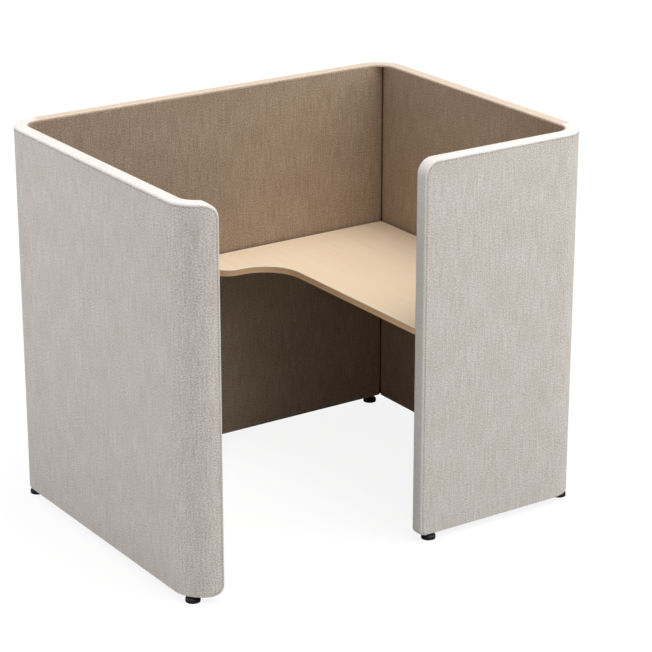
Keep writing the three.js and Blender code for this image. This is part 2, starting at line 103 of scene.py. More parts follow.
class Signal:
    """A shader value that takes part in arithmetic."""

    def __init__(self, graph: "Graph", socket: bpy.types.NodeSocket | None) -> None:
        """Holds an output socket of a graph, or nothing for a node that ends it."""
        self.graph = graph
        self.socket = socket

    def _math(self, operation: str, *values: object) -> "Signal":
        """Adds a math node that works on numbers or signals."""
        return self.graph.node("Math", dict(enumerate(values)), operation=operation)

    def __add__(self, other: object) -> "Signal":
        """Returns self + other."""
        return self._math("ADD", self, other)

    def __radd__(self, other: object) -> "Signal":
        """Returns other + self."""
        return self._math("ADD", other, self)

    def __sub__(self, other: object) -> "Signal":
        """Returns self - other."""
        return self._math("SUBTRACT", self, other)

    def __rsub__(self, other: object) -> "Signal":
        """Returns other - self."""
        return self._math("SUBTRACT", other, self)

    def __mul__(self, other: object) -> "Signal":
        """Returns self * other."""
        return self._math("MULTIPLY", self, other)

    def __rmul__(self, other: object) -> "Signal":
        """Returns other * self."""
        return self._math("MULTIPLY", other, self)

    def __pow__(self, other: object) -> "Signal":
        """Returns self ** other."""
        return self._math("POWER", self, other)

    def __rpow__(self, other: object) -> "Signal":
        """Returns other ** self."""
        return self._math("POWER", other, self)

    def sine(self) -> "Signal":
        """Returns the sine of the value, taken in radians."""
        return self._math("SINE", self)

    def positive(self) -> "Signal":
        """Returns the value, or 0 where it is below 0."""
        return self._math("MAXIMUM", self, 0.0)

    def ramp(self, low: float, high: float) -> "Signal":
        """Eases from 0 at the low value to 1 at the high one."""
        inputs = {"Value": self, "From Min": low, "From Max": high}
        return self.graph.node("MapRange", inputs, interpolation_type="SMOOTHSTEP")


class Graph:
    """A material's or a world's nodes, under construction."""

    NOISE_MIDDLE = 0.5
    NOISE_GAIN = 2.6

    def __init__(self, owner: Material | bpy.types.World) -> None:
        """Starts the owner's nodes afresh.

        Args:
            owner: The material or the world.
        """
        self.owner = owner
        owner.use_nodes = True
        self.tree = owner.node_tree
        self.tree.nodes.clear()

    @classmethod
    def material(cls, name: str) -> "Graph":
        """Starts a material of the given name."""
        return cls(bpy.data.materials.new(name))

    def node(
        self, kind: str, inputs: dict | None = None, output: int | str = 0, **settings: object
    ) -> Signal:
        """Adds a node.

        Args:
            kind: The node's type, without ShaderNode.
            inputs: Values or signals, by input name or number.
            output: The output to give back.
            **settings: Attributes of the node.

        Returns:
            The chosen output.
        """
        made = self.tree.nodes.new(f"ShaderNode{kind}")
        for name, value in settings.items():
            setattr(made, name, value)
        for name, value in (inputs or {}).items():
            if isinstance(value, Signal):
                self.tree.links.new(value.socket, made.inputs[name])
            else:
                made.inputs[name].default_value = value
        return Signal(self, made.outputs[output] if made.outputs else None)

    def position(self) -> Signal:
        """Reads the place on the object, in metres."""
        return self.node("TexCoord", output="Object")

    def split(self, vector: Signal) -> list[Signal]:
        """Returns a vector's three parts."""
        first = self.node("SeparateXYZ", {0: vector})
        return [Signal(self, socket) for socket in first.socket.node.outputs]

    def uv(self, name: str) -> tuple[Signal, Signal, Signal]:
        """Reads a coordinate layer of the given name: the whole vector and its first two parts."""
        whole = self.node("UVMap", uv_map=name)
        return whole, *self.split(whole)[:2]

    def noise(
        self, where: Signal, stretch: Point, detail: float = 3.0, roughness: float = 0.55
    ) -> Signal:
        """Adds a noise that is stretched along the axes.

        Args:
            where: The coordinate, in metres.
            stretch: Features per metre along each axis.
            detail: How many finer layers it has.
            roughness: How strong the finer layers are.

        Returns:
            A value round 0, about -1 to 1.
        """
        scaled = self.node("Mapping", {"Vector": where, "Scale": stretch})
        inputs = {"Vector": scaled, "Scale": 1.0, "Detail": detail, "Roughness": roughness}
        return (self.node("TexNoise", inputs) - self.NOISE_MIDDLE) * self.NOISE_GAIN

    def blend(self, amount: object, first: object, second: object) -> Signal:
        """Mixes two colours or signals, with the first alone at 0 and the second alone at 1."""
        pair = [c if isinstance(c, Signal) else (*c, 1.0) for c in (first, second)]
        return self.node("Mix", {0: amount, 6: pair[0], 7: pair[1]}, output=2, data_type="RGBA")

    def bump(self, height: Signal, depth: float) -> Signal:
        """Turns a height of about 0 to 1, which stands for a depth in metres, into a normal."""
        return self.node("Bump", {"Height": height, "Distance": depth, "Strength": 1.0})

    def surface(self, **inputs: object) -> Material:
        """Ends the material with a principled surface.

        Args:
            **inputs: Socket names, with underscores for spaces, and their values.

        Returns:
            The finished material.
        """
        named = {name.replace("_", " "): value for name, value in inputs.items()}
        shader = self.node("BsdfPrincipled", named)
        self.node("OutputMaterial", {"Surface": shader})
        return self.owner


@dataclass(frozen=True)
class FabricFinish:
    """A woven fabric: two yarn colours, the noises that mix them, the weave and the sheen.

    A noise counts features per metre along and up the wall.
    """

    name: str
    dark: Colour
    light: Colour
    warp: Point = (190.0, 10.0, 1.0)
    warp_share: float = 0.35
    weft: Point = (22.0, 260.0, 1.0)
    weft_share: float = 0.14
    speck: Point = (265.0, 245.0, 1.0)
    speck_share: float = 0.9
    cloud: Point = (11.0, 8.0, 1.0)
    cloud_share: float = 0.117
    contrast: Pair = (-0.25, 1.25)
    uneven: Point = (160.0, 30.0, 1.0)
    thread: float = 0.0026
    depth: float = 0.00035
    roughness: float = 0.95
    sheen: float = 0.12
    sheen_roughness: float = 0.6
    specular: float = 0.15

    def yarn(self, graph: Graph) -> Signal:
        """Mixes the yarns into an uneven, heathered colour.

        Args:
            graph: The material under construction.

        Returns:
            The colour.
        """
        where, _, _ = graph.uv(WEAVE_UV)
        warp = graph.noise(where, self.warp) * self.warp_share
        weft = graph.noise(where, self.weft) * self.weft_share
        speck = graph.noise(where, self.speck, detail=1.0, roughness=0.5) * self.speck_share
        cloud = graph.noise(where, self.cloud) * self.cloud_share
        mixed = 0.5 + (warp + weft) + (speck + cloud)
        return graph.blend(mixed.ramp(*self.contrast), self.dark, self.light)

    def weave(self, graph: Graph) -> Signal:
        """Makes the relief of a plain weave.

        Args:
            graph: The material under construction.

        Returns:
            The normal.
        """
        where, along, up = graph.uv(WEAVE_UV)
        turn = 2 * pi / self.thread
        over = (along * turn).sine() * (up * turn).sine()
        return graph.bump(over * 0.5 + graph.noise(where, self.uneven) * 0.5, self.depth)

    def surface(self, graph: Graph, colour: Signal) -> Material:
        """Ends a material with this fabric's relief and sheen.

        Args:
            graph: The material under construction.
            colour: Its colour.

        Returns:
            The finished material.
        """
        return graph.surface(
            Base_Color=colour,
            Normal=self.weave(graph),
            Roughness=self.roughness,
            Sheen_Weight=self.sheen,
            Sheen_Roughness=self.sheen_roughness,
            Specular_IOR_Level=self.specular,
        )

    def material(self) -> Material:
        """Makes the fabric's material."""
        graph = Graph.material(self.name)
        return self.surface(graph, self.yarn(graph))


@dataclass(frozen=True)
class BorderFinish:
    """A border strip's fabrics: over most of it, past its seam, and the lining's at its inner edge."""

    name: str
    trim: FabricFinish
    past_seam: FabricFinish
    lining: FabricFinish
    lining_fade: Pair = (-0.0262, -0.0165)
    seam_fade: Pair = (TRIM_SEAM_AT - 0.0002, TRIM_SEAM_AT + 0.0002)

    def material(self) -> Material:
        """Makes the strip's material.

        Returns:
            The material.
        """
        graph = Graph.material(self.name)
        _, across, _ = graph.uv(BAND_UV)
        lining, past_seam, trim = (f.yarn(graph) for f in (self.lining, self.past_seam, self.trim))
        inner = graph.blend(across.ramp(*self.lining_fade), lining, past_seam)
        return self.trim.surface(graph, graph.blend(across.ramp(*self.seam_fade), inner, trim))


@dataclass(frozen=True)
class WoodFinish:
    """A lacquered wood with its grain along Y: two growth colours, the figure and the lacquer."""

    name: str
    early: Colour
    late: Colour
    streak: Point = (70.0, 2.2, 70.0)
    streak_share: float = 0.55
    wander: Point = (6.0, 1.2, 6.0)
    wander_share: float = 0.35
    pore: Point = (620.0, 16.0, 620.0)
    pore_share: float = 0.2
    contrast: Pair = (-0.9, 1.1)
    depth: float = 0.00005
    roughness: float = 0.42
    unevenness: float = 0.05
    coat: float = 0.12
    coat_roughness: float = 0.3

    def material(self) -> Material:
        """Makes the wood's material.

        Returns:
            The material.
        """
        graph = Graph.material(self.name)
        where = graph.position()
        streak = graph.noise(where, self.streak, detail=4.0, roughness=0.6)
        wander = graph.noise(where, self.wander, detail=2.0)
        pore = graph.noise(where, self.pore, detail=2.0)
        figure = streak * self.streak_share + wander * self.wander_share + pore * self.pore_share
        return graph.surface(
            Base_Color=graph.blend(figure.ramp(*self.contrast), self.early, self.late),
            Roughness=self.roughness + pore * self.unevenness,
            Normal=graph.bump(pore, self.depth),
            Coat_Weight=self.coat,
            Coat_Roughness=self.coat_roughness,
        )


@dataclass(frozen=True)
class EdgeFinish:
    """The desk's layered edge: a painted highlight line along the top, a brown middle and a tan layer
    below.

    Each upper layer starts between two depths under the desk's top.
    """

    name: str
    tan: tuple[Colour, Colour]
    brown: tuple[Colour, Colour]
    # Colour of the top line: a painted highlight where the rounded top edge catches the light.
    pale: Colour
    brown_from: Pair = (0.0165, 0.0155)
    painted_highlight_from: Pair = (0.0034, 0.0028)
    streak: Point = (6.0, 6.0, 420.0)
    streak_share: float = 0.6
    depth: float = 0.00006
    roughness: float = 0.42

    def material(self) -> Material:
        """Makes the edge's material.

        Returns:
            The material.
        """
        graph = Graph.material(self.name)
        where = graph.position()
        _, _, height = graph.split(where)
        streak = graph.noise(where, self.streak)
        shade = (streak * self.streak_share).ramp(-1.0, 1.0)
        colour = graph.blend(shade, *self.tan)
        # The top line's near-white colour is a painted highlight, not a layer of the wood.
        layers = ((graph.blend(shade, *self.brown), self.brown_from), (self.pale, self.painted_highlight_from))
        for layer, (low, high) in layers:
            colour = graph.blend(height.ramp(DESK_TOP - low, DESK_TOP - high), colour, layer)
        normal = graph.bump(streak, self.depth)
        return graph.surface(Base_Color=colour, Roughness=self.roughness, Normal=normal)


@dataclass(frozen=True)
class PlainFinish:
    """A metal, a plastic, a thread or a board: one colour with a slight unevenness."""

    name: str
    colour: Colour
    roughness: float
    metallic: float = 0.0
    spread: float = 0.08
    fine: float = 900.0
    broad: float = 20.0
    unevenness: float = 0.04
    depth: float = 0.00003

    def material(self) -> Material:
        """Makes the material.

        Returns:
            The material.
        """
        graph = Graph.material(self.name)
        where = graph.position()
        fine, broad = (graph.noise(where, (size,) * 3, detail=2.0) for size in (self.fine, self.broad))
        shade = (fine * 0.5 + broad * 0.5).ramp(-1.0, 1.0)
        darker = tuple(value * (1 - self.spread) for value in self.colour)
        lighter = tuple(min(1.0, value * (1 + self.spread)) for value in self.colour)
        return graph.surface(
            Base_Color=graph.blend(shade, darker, lighter),
            Roughness=self.roughness + broad * self.unevenness,
            Metallic=self.metallic,
            Normal=graph.bump(fine, self.depth),
        )


def linear(*display: int) -> Colour:
    """Turns a display colour's red, green and blue, 0 to 255, into linear light."""
    parts = [value / 255 for value in display]
    return tuple(p / 12.92 if p <= 0.04045 else ((p + 0.055) / 1.055) ** 2.4 for p in parts)


GREY_FABRIC = FabricFinish("grey_fabric", linear(194, 181, 166), linear(245, 242, 238))
BROWN_FABRIC = FabricFinish("brown_fabric", linear(140, 113, 90), linear(200, 181, 160))
# A paler copy of the grey fabric for the grey walls' border strips: painted top light and painted
# highlight on the border.
GREY_WITH_PAINTED_TOP_LIGHT = FabricFinish("pale_fabric", linear(226, 219, 210), linear(253, 251, 248))
# A sand colour over the walls' tops, lighter than the brown lining: partly the strip's own tone, partly
# painted top light.
SAND_WITH_PAINTED_TOP_LIGHT = FabricFinish("sand_fabric", linear(214, 190, 165), linear(238, 222, 204))
# Border strips: the grey walls' trim is painted top light on grey fabric; the sand is partly its own
# tone, partly painted top light.
BORDERS = {
    Trim.GREY: BorderFinish("grey_border", GREY_WITH_PAINTED_TOP_LIGHT, SAND_WITH_PAINTED_TOP_LIGHT, BROWN_FABRIC),
    Trim.SAND: BorderFinish("sand_border", SAND_WITH_PAINTED_TOP_LIGHT, SAND_WITH_PAINTED_TOP_LIGHT, BROWN_FABRIC),
}
OAK = WoodFinish("oak", linear(247, 228, 200), linear(238, 211, 175))
OAK_EDGE = EdgeFinish(
    "oak_edge",
    (linear(254, 216, 170), linear(255, 224, 180)),
    (linear(240, 197, 149), linear(254, 213, 165)),
    # Painted highlight colour of the top line.
    linear(255, 250, 238),
)
BLACK_STEEL = PlainFinish("black_steel", linear(38, 38, 40), 0.5, 0.4)
BRIGHT_STEEL = PlainFinish("bright_steel", linear(176, 178, 181), 0.32, 1.0, 0.05)
BLACK_PLASTIC = PlainFinish("black_plastic", linear(24, 24, 25), 0.55)
FIBRE_BOARD = PlainFinish("fibre_board", linear(92, 76, 58), 0.9, 0.0, 0.2, 400.0)
THREAD = PlainFinish("thread", linear(112, 105, 97), 0.85, 0.0, 0.1)


def spread(begin: float, end: float, step: float) -> list[float]:
    """Spaces values evenly from one end to the other, about a step apart."""
    count = max(1, round((end - begin) / step))
    return [begin + (end - begin) * i / count for i in range(count + 1)]


def quarter_turn(steps: int) -> list[float]:
    """Spaces angles evenly over a quarter turn."""
    return spread(0.0, pi / 2, pi / 2 / steps)


def lengths(line: list[Pair]) -> list[float]:
    """Measures the way along a line to each of its points.

    Args:
        line: The points.

    Returns:
        Distances from the first point.
    """
    ways = [0.0]
    for (x0, y0), (x1, y1) in zip(line, line[1:]):
        ways.append(ways[-1] + hypot(x1 - x0, y1 - y0))
    return ways


@dataclass
class Run:
    """One straight or curved stretch of a wall's centre line."""

    begin: float
    start: Vector
    heading: Vector
    radius: float = 0.0


@dataclass
class WallPath:
    """A wall's centre line in plan, with the outside of the pod away from its turns."""

    start: Vector
    heading: Vector
    turn: int
    length: float = 0.0
    runs: list[Run] = field(default_factory=list)
    bends: list[Pair] = field(default_factory=list)

    def straight(self, length: float) -> "WallPath":
        """Adds a straight stretch.

        Args:
            length: Its length.

        Returns:
            The path.
        """
        self.runs.append(Run(self.length, self.start.copy(), self.heading.copy()))
        self.start = self.start + self.heading * length
        self.length += length
        return self

    def quarter(self, radius: float) -> "WallPath":
        """Adds a quarter turn.

        Args:
            radius: The turn's radius.

        Returns:
            The path.
        """
        self.runs.append(Run(self.length, self.start.copy(), self.heading.copy(), radius))
        begin = self.length
        self.length += radius * pi / 2
        self.bends.append((begin, self.length))
        self.start, normal = self.at(self.length)
        self.heading = Vector((-normal.y, normal.x)) * self.turn
        return self

    def at(self, distance: float) -> tuple[Vector, Vector]:
        """Finds a place on the path.

        Args:
            distance: Distance along it.

        Returns:
            The point and the outward normal.
        """
        run = next((r for r in reversed(self.runs) if distance >= r.begin), self.runs[0])
        along = distance - run.begin
        side = Vector((-run.heading.y, run.heading.x)) * self.turn
        heading = run.heading
        point = run.start + run.heading * along
        if run.radius:
            angle = along / run.radius
            swing = run.heading * sin(angle) + side * (1 - cos(angle))
            point = run.start + swing * run.radius
            heading = run.heading * cos(angle) + side * sin(angle)
        return point, Vector((heading.y, -heading.x)) * self.turn

    def place(self, distance: float, outward: float, height: float) -> Point:
        """Finds a point from its distance along the path, outward from it and over the floor."""
        point, normal = self.at(distance)
        return point.x + normal.x * outward, point.y + normal.y * outward, height

    def stations(self, begin: float, end: float, free_end: bool) -> list[float]:
        """Spaces columns along the path, closer on its bends and at its ends.

        Args:
            begin: The first column.
            end: The last column.
            free_end: Whether a rounded corner at the end needs columns too.

        Returns:
            Distances along the path.
        """
        values = [begin + offset for offset in EDGE_OFFSETS] + [end - offset for offset in EDGE_OFFSETS]
        marks = [begin, *(s for bend in self.bends for s in bend), end]
        for low, high in zip(marks, marks[1:]):
            curved = any(abs(low - bend[0]) < FIT for bend in self.bends)
            step = (high - low) / CORNER_STEPS if curved else STRAIGHT_STEP
            values += [s for s in spread(low, high, step) if begin <= s <= end]
        if free_end:
            radius = FREE_END_RADIUS - BORDER
            values += [end - radius * (1 - sin(angle)) for angle in quarter_turn(END_STEPS)]
        ordered = sorted(values)
        kept = [ordered[0]]
        for value in ordered[1:-1]:
            if min(value - kept[-1], ordered[-1] - value) >= LEAST_STEP:
                kept.append(value)
        return [*kept, ordered[-1]]


@dataclass
class OutlineStop:
    """A place on a wall's outline, the outline's outward direction there and the way to it."""

    distance: float
    height: float
    out: Pair
    run: float

    def inside(self, depth: float) -> Pair:
        """Finds the distance along the wall and the height of a point under the outline."""
        return self.distance - depth * self.out[0], self.height - depth * self.out[1]


@dataclass
class Wall:
    """A wall: its centre line, its border's fabric and whether its far end is free.

    A flat lining that runs into a square corner has a line of its own.
    """

    name: str
    path: WallPath
    trim: Trim
    free_end: bool
    near_desk: bool
    toe: float = 0.0
    lining: WallPath | None = None
    corner: Corner = Corner.NONE

    @property
    def begin(self) -> float:
        """Distance along the path where the wall starts."""
        return FIT / 2

    @property
    def end(self) -> float:
        """Distance along the path where the wall ends."""
        return self.path.length if self.free_end else self.path.length - FIT / 2

    def outline(self) -> list[OutlineStop]:
        """Follows the wall's outline from its joint, over the top, to its other end.

        Returns:
            The stops along it.
        """
        stations = self.path.stations(self.begin, self.end, self.free_end)
        left_out = FREE_END_RADIUS if self.free_end else SEAM_GAP
        along = [s for s in stations if s <= self.end - left_out]
        if not self.free_end:
            along.append(self.end)
        stops = [OutlineStop(s, POD_HEIGHT, (0.0, 1.0), s) for s in along]
        if self.free_end:
            corner = self.end - FREE_END_RADIUS
            top = POD_HEIGHT - FREE_END_RADIUS
            stops += self.rounded((corner, top), FREE_END_RADIUS, 0.0, corner)
            run = stops[-1].run
            low = FLOOR_GAP + self.toe
            for z in spread(top, low, -STRAIGHT_STEP)[1:]:
                stops.append(OutlineStop(self.end, z, (1.0, 0.0), run + top - z))
            run = stops[-1].run
            stops += self.rounded((self.end - self.toe, low), self.toe, pi / 2, run)[1:]
        return stops

    @staticmethod
    def rounded(centre: Pair, radius: float, begin: float, run: float) -> list[OutlineStop]:
        """Follows a rounded corner of the outline over a quarter turn.

        Args:
            centre: Its centre, along the wall and over the floor.
            radius: Its radius.
            begin: Its first point's angle from straight up.
            run: The way along the outline to that point.

        Returns:
            The stops round the corner.
        """
        stops = []
        for angle in quarter_turn(END_STEPS):
            out = (sin(begin + angle), cos(begin + angle))
            distance, height = (middle + radius * part for middle, part in zip(centre, out))
            stops.append(OutlineStop(distance, height, out, run + radius * angle))
        return stops


@dataclass
class Mesh:
    """Points, faces and coordinate layers of a piece under construction."""

    points: list[Point] = field(default_factory=list)
    faces: list[tuple[int, ...]] = field(default_factory=list)
    layers: dict[str, list[Pair]] = field(default_factory=dict)

    def add(self, point: Point, **coordinates: Pair) -> int:
        """Adds a point.

        Args:
            point: Where it is.
            **coordinates: Its place on each coordinate layer.

        Returns:
            Its number.
        """
        self.points.append(point)
        for name, value in coordinates.items():
            self.layers.setdefault(name, []).append(value)
        return len(self.points) - 1

    def close_grid(self, columns: int, rows: int) -> None:
        """Adds the faces of a front and a back grid of points and of the rim between them.

        Args:
            columns: The number of columns in each grid.
            rows: The number of rows, which follow each other in a column.
        """
        back = columns * rows
        for i in range(columns - 1):
            for j in range(rows - 1):
                a = i * rows + j
                quad = (a, a + rows, a + rows + 1, a + 1)
                self.faces.append(quad)
                self.faces.append(tuple(back + k for k in reversed(quad)))
        bottom = [i * rows for i in range(columns)]
        top = [i * rows + rows - 1 for i in range(columns)]
        first = list(range(1, rows - 1))
        last = [(columns - 1) * rows + j for j in range(1, rows - 1)]
        rim = [*bottom, *last, *reversed(top), *reversed(first)]
        for a, b in zip(rim, [*rim[1:], rim[0]]):
            self.faces.append((a, b, b + back, a + back))

    def close_tube(self, size: int, first: int = 0) -> None:
        """Joins closed sections that follow each other, up to the last point, and caps both ends.

        Args:
            size: The number of points in a section.
            first: The number of the first section's first point.
        """
        total = len(self.points)
        for start in range(first, total - size, size):
            for j in range(size):
                a = start + j
                b = start + (j + 1) % size
                self.faces.append((a, b, b + size, a + size))
        self.faces.append(tuple(range(first, first + size)))
        self.faces.append(tuple(reversed(range(total - size, total))))

    def make(self, name: str, material: Material) -> Object:
        """Makes the piece, with its faces turned outward, and lets it ride on the pod.

        Args:
            name: The piece's name.
            material: Its material.

        Returns:
            The piece.
        """
        data = bpy.data.meshes.new(name)
        data.from_pydata(self.points, [], self.faces)
        for layer, values in self.layers.items():
            table = np.array(values, np.float32)
            corners = np.zeros(len(data.loops), np.int32)
            data.loops.foreach_get("vertex_index", corners)
            data.uv_layers.new(name=layer).uv.foreach_set("vector", table[corners].ravel())
        work = bmesh.new()
        work.from_mesh(data)
        bmesh.ops.recalc_face_normals(work, faces=work.faces)
        work.to_mesh(data)
        work.free()
        data.polygons.foreach_set("use_smooth", [True] * len(data.polygons))
        data.materials.append(material)
        piece = bpy.data.objects.new(name, data)
        bpy.context.scene.collection.objects.link(piece)
        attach(piece, BODY)
        return piece


@dataclass
class Panel:
    """A padded layer on one side of a wall: fabric over foam, rolled in at its edges."""

    wall: Wall
    side: Face
    material: Material
    slot: str
    edge_radius: float = 0.0016
    tuck_width: float = 0.014
    tuck_depth: float = 0.0036
    joint_gap: float = 0.0009
    top: float = POD_HEIGHT - BORDER - SEAM_GAP
    end_radius: float = FREE_END_RADIUS - BORDER - SEAM_GAP
    held_margin: float = 0.008
    held_at_desk: Pair = (0.56, 0.77)
    piece: Object | None = None

    @property
    def node(self) -> str:
        """The name of the solid that the panel stands for."""
        return f"{self.wall.name}_{'outer_cover' if self.side is Face.OUTER else 'lining'}"

    @property
    def path(self) -> WallPath:
        """The line that the panel follows."""
        has_own = self.side is Face.INNER and self.wall.lining
        return self.wall.lining if has_own else self.wall.path

    def meets_at(self, end: Corner) -> bool:
        """Tells whether the panel runs into the square corner at the given end."""
        return self.side is Face.INNER and self.wall.corner is end

    @property
    def begin(self) -> float:
        """Distance along the path where the panel starts."""
        return self.wall.begin + (self.joint_gap if self.meets_at(Corner.BEGIN) else 0.0)

    @property
    def finish_line(self) -> float:
        """Distance along the path where the panel ends."""
        joint = self.path.length - FIT / 2 - (self.joint_gap if self.meets_at(Corner.FINISH) else 0.0)
        return self.wall.end - BORDER - SEAM_GAP if self.wall.free_end else joint

    @property
    def toe_radius(self) -> float:
        """The radius of the panel's bottom corner at a free end, or 0."""
        return self.wall.toe - BORDER - SEAM_GAP if self.wall.toe else 0.0

    def heights(self, distance: float) -> list[float]:
        """Spaces rows up the panel at a place along the wall, closer at its edges.

        Args:
            distance: Distance along the path.

        Returns:
            Heights over the floor.
        """
        bottom, top = FLOOR_GAP, self.top
        past_top = distance - (self.finish_line - self.end_radius)
        past_toe = distance - (self.finish_line - self.toe_radius)
        if self.wall.free_end and past_top > 0:
            top += sqrt(max(0.0, self.end_radius ** 2 - past_top ** 2)) - self.end_radius
        if self.wall.free_end and past_toe >= 0:
            bottom += self.wall.toe - sqrt(max(0.0, self.toe_radius ** 2 - past_toe ** 2))
        low = [bottom + offset for offset in EDGE_OFFSETS]
        high = [top - offset for offset in reversed(EDGE_OFFSETS)]
        count = round((POD_HEIGHT - FLOOR_GAP) / STRAIGHT_STEP)
        middle = [low[-1] + (high[0] - low[-1]) * i / count for i in range(1, count)]
        return [*low, *middle, *high]

    def roll(self, distance: float, height: float) -> Pair:
        """Measures how a point lies at the panel's edges.

        Args:
            distance: Distance along the path.
            height: Height over the floor.

        Returns:
            The distance to the nearest edge, and how far the fabric is rolled in there.
        """
        seam = (self.edge_radius, self.edge_radius)
        tuck = (self.tuck_width, self.tuck_depth)
        edges = [
            (distance - self.begin, tuck if self.meets_at(Corner.BEGIN) else seam),
            (self.finish_line - distance, tuck if self.meets_at(Corner.FINISH) else seam),
            (height - FLOOR_GAP, seam),
            (self.top - height, seam),
        ]
        top_corner = (self.end_radius, height - (self.top - self.end_radius))
        toe = (self.toe_radius, FLOOR_GAP + self.wall.toe - height)
        for radius, beyond in (top_corner, toe):
            past = distance - (self.finish_line - radius)
            if self.wall.free_end and past > 0 and beyond > 0:
                edges.append((radius - hypot(past, beyond), seam))
        inside = max(0.0, min(gap for gap, _ in edges))
        rolled = 0.0
        for gap, (width, depth) in edges:
            lack = min(1.0, max(0.0, 1 - gap / width))
            rolled = max(rolled, depth * (1 - sqrt(1 - lack ** 2)))
        return inside, rolled

    def build(self) -> "Panel":
        """Makes the panel's mesh and hides the solid that it stands for.

        Returns:
            The panel.
        """
        mesh = Mesh()
        low, high = self.held_at_desk
        beside_desk = self.side is Face.INNER and self.wall.near_desk
        stations = self.path.stations(self.begin, self.finish_line, self.wall.free_end)
        if self.toe_radius:
            step = self.finish_line - self.toe_radius
            stations = sorted([s for s in stations if abs(s - step) > FIT] + [step - FIT, step])
        rows = 0
        held = []
        for depth in (HALF_WALL, HALF_CORE + FIT / 2):
            front = depth == HALF_WALL
            for s in stations:
                heights = self.heights(s)
                rows = len(heights)
                for z in heights:
                    inside, rolled = self.roll(s, z)
                    outward = depth - rolled if front else depth
                    number = mesh.add(self.path.place(s, self.side.value * outward, z), weave=(s, z))
                    if not front or inside < self.held_margin or (beside_desk and low < z < high):
                        held.append(number)
        mesh.close_grid(len(stations), rows)
        self.piece = mesh.make(f"{self.node}_fabric", self.material)
        self.piece.vertex_groups.new(name=HELD).add(held, 1.0, "REPLACE")
        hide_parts(self.node)
        return self


@dataclass
class Upholsterer:
    """Puffs the panels up with a cloth simulation, held along their seams."""

    panels: list[Panel]
    frames: int = 14
    least_move: float = 1e-6

    CLOTH = {
        "quality": 5,
        "mass": 0.4,
        "tension_stiffness": 40.0,
        "compression_stiffness": 40.0,
        "shear_stiffness": 20.0,
        "bending_stiffness": 4.0,
        "tension_damping": 15.0,
        "vertex_group_mass": HELD,
        "use_pressure": True,
        "uniform_pressure_force": 2.0,
    }

    def run(self) -> None:
        """Simulates all the panels together and keeps the shapes they settle in."""
        rest = [self.positions(panel.piece.data) for panel in self.panels]
        for panel in self.panels:
            self.prepare(panel.piece)
        scene = bpy.context.scene
        for number in range(1, self.frames + 1):
            scene.frame_set(number)
        graph = bpy.context.evaluated_depsgraph_get()
        settled = [self.positions(panel.piece.evaluated_get(graph).data) for panel in self.panels]
        for panel, before, after in zip(self.panels, rest, settled):
            panel.piece.modifiers.clear()
            move = after - before
            most = float(np.linalg.norm(move, axis=1).max())
            log.info("%s puffed by %.1f mm before scaling", panel.node, most * 1000)
            shape = before + move * (PANEL_CROWN / max(most, self.least_move))
            panel.piece.data.vertices.foreach_set("co", shape.astype(np.float32).ravel())
            panel.piece.data.update()
        scene.frame_set(1)

    def prepare(self, piece: Object) -> None:
        """Sets one piece up as stretched cloth over foam.

        Args:
            piece: The piece.
        """
        cloth = piece.modifiers.new("upholstery", "CLOTH")
        for name, value in self.CLOTH.items():
            setattr(cloth.settings, name, value)
        cloth.settings.effector_weights.gravity = 0.0
        cloth.point_cache.frame_start = 1
        cloth.point_cache.frame_end = self.frames

    @staticmethod
    def positions(data: bpy.types.Mesh) -> np.ndarray:
        """Reads a mesh's points, one row each."""
        return np.array([vertex.co for vertex in data.vertices])


@dataclass
class Border:
    """The strip that closes a wall's top edge and runs down its free end."""

    wall: Wall
    material: Material
    slot: str
    edge_radius: float = 0.0075
    seam_radius: float = 0.0008
    seam_cut: float = 0.3
    crown: float = 0.0007
    step: float = 0.0025
    trim_seam_depth: float = 0.0009
    trim_seam_width: float = 0.0026

    def profile(self) -> list[Pair]:
        """Draws the strip's section: soft long edges, a slight crown and the seam beside the lining.

        Returns:
            Distances outward from the wall's middle and depths under its outline.
        """
        r, seam, cut = self.edge_radius, self.seam_radius, self.seam_radius * self.seam_cut
        edge = [(HALF_WALL - seam, BORDER), (HALF_WALL - cut, BORDER - cut), (HALF_WALL, BORDER - seam)]
        edge += [(HALF_WALL - r * (1 - cos(a)), r * (1 - sin(a))) for a in quarter_turn(ROUND_STEPS)]
        flat = HALF_WALL - r
        across = []
        for n in spread(flat, -flat, -self.step)[1:-1]:
            crown = self.crown * (1 - (n / flat) ** 2)
            dip = 0.0
            if self.wall.trim is Trim.GREY:
                dip = self.trim_seam_depth * max(0.0, 1 - abs(n - TRIM_SEAM_AT) / self.trim_seam_width)
            across.append((n, dip - crown))
        return [*edge, *across, *((-n, d) for n, d in reversed(edge))]

    def build(self) -> Object:
        """Makes the strip and hides the solid that it stands for.

        Returns:
            The piece.
        """
        mesh = Mesh()
        profile = self.profile()
        girth = lengths(profile)
        for stop in self.wall.outline():
            for (n, depth), g in zip(profile, girth):
                s, z = stop.inside(depth)
                mesh.add(self.wall.path.place(s, n, z), weave=(stop.run, g), band=(n, depth))
        mesh.close_tube(len(profile))
        name = f"{self.wall.name}_border"
        piece = mesh.make(f"{name}_fabric", self.material)
        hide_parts(name)
        return piece


